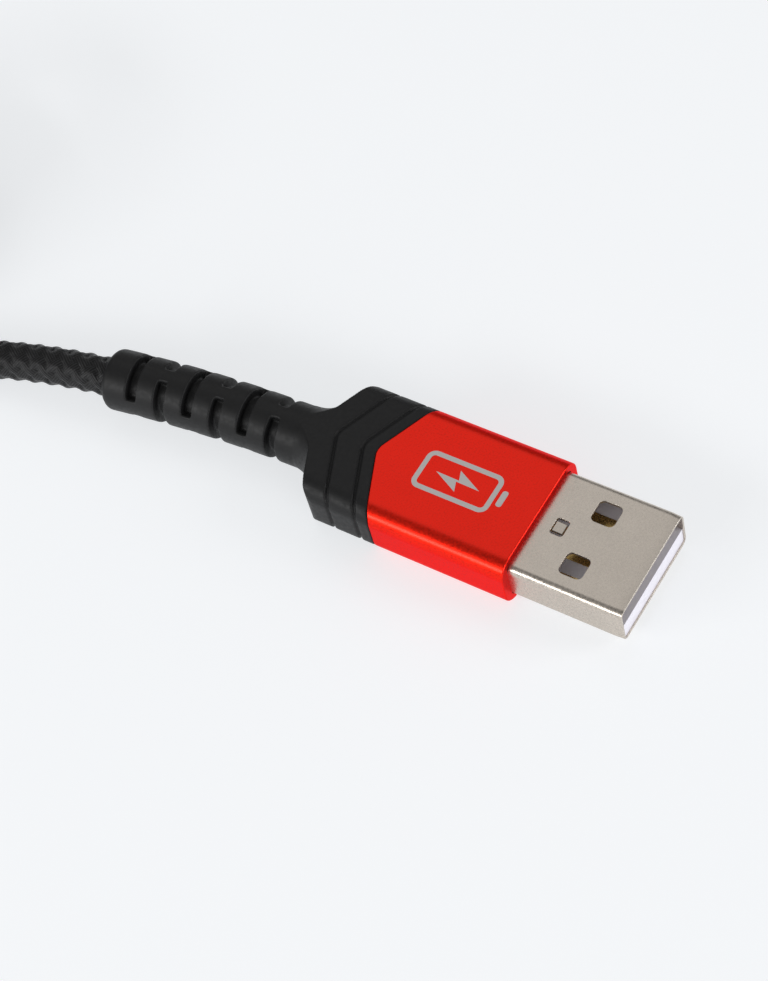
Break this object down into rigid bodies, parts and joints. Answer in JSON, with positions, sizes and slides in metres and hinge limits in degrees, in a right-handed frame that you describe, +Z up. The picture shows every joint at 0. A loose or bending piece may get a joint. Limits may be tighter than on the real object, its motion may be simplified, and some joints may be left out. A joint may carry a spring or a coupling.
{
  "type": "charging cable",
  "caption": "Braided charging cable with a flat red type-A plug, slotted strain relief, tied hank of cord and an oval type-C plug on the far end.",
  "frame": {"origin": "centre of the type-A plug and its strain relief, on the surface they lie on", "axes": "+X the way the type-A plug is pushed in, +Z up off the surface"},
  "size_m": [0.1778, 0.0334, 0.0126],
  "materials": {
    "shell_nickel": "satin nickel plate",
    "contact_gold": "gold plate",
    "tongue_white": "smooth moulded",
    "housing_black": "smooth moulded",
    "solder": "bright solder",
    "spring_steel": "bright",
    "wire_red": "insulation",
    "wire_white": "insulation",
    "wire_green": "insulation",
    "wire_black": "insulation",
    "mould_white": "as moulded",
    "sleeve_red": "satin anodised",
    "print_grey": "printed mark",
    "boot_black": "satin elastomer",
    "braid_black": "braided nylon",
    "tie_black": "hook-and-loop strap",
    "board_green": "solder mask",
    "resistor_black": "chip"
  },
  "bodies": {
    "root": {"plug_a_shell": "shell_nickel", "plug_a_tongue": "tongue_white", "contact_1": "contact_gold", "contact_2": "contact_gold", "contact_3": "contact_gold", "contact_4": "contact_gold", "plug_a_solder": "solder", "wire_a_red": "wire_red", "wire_a_white": "wire_white", "wire_a_green": "wire_green", "wire_a_black": "wire_black", "plug_a_inner_mould": "mould_white", "plug_a_sleeve": "sleeve_red", "plug_a_boot": "boot_black", "cable_end_a": "braid_black", "cable_run": "braid_black", "cable_hank": "braid_black", "cable_tie": "tie_black", "cable_tail": "braid_black", "plug_c_shell": "shell_nickel", "plug_c_housing": "housing_black", "plug_c_contacts_upper": "contact_gold", "plug_c_contacts_lower": "contact_gold", "plug_c_latches": "spring_steel", "plug_c_board": "board_green", "plug_c_resistor": "resistor_black", "plug_c_solder": "solder", "wire_c_red": "wire_red", "wire_c_white": "wire_white", "wire_c_green": "wire_green", "wire_c_black": "wire_black", "plug_c_inner_mould": "mould_white", "plug_c_sleeve": "sleeve_red", "plug_c_boot": "boot_black", "cable_end_c": "braid_black"}
  },
  "joints": []
}
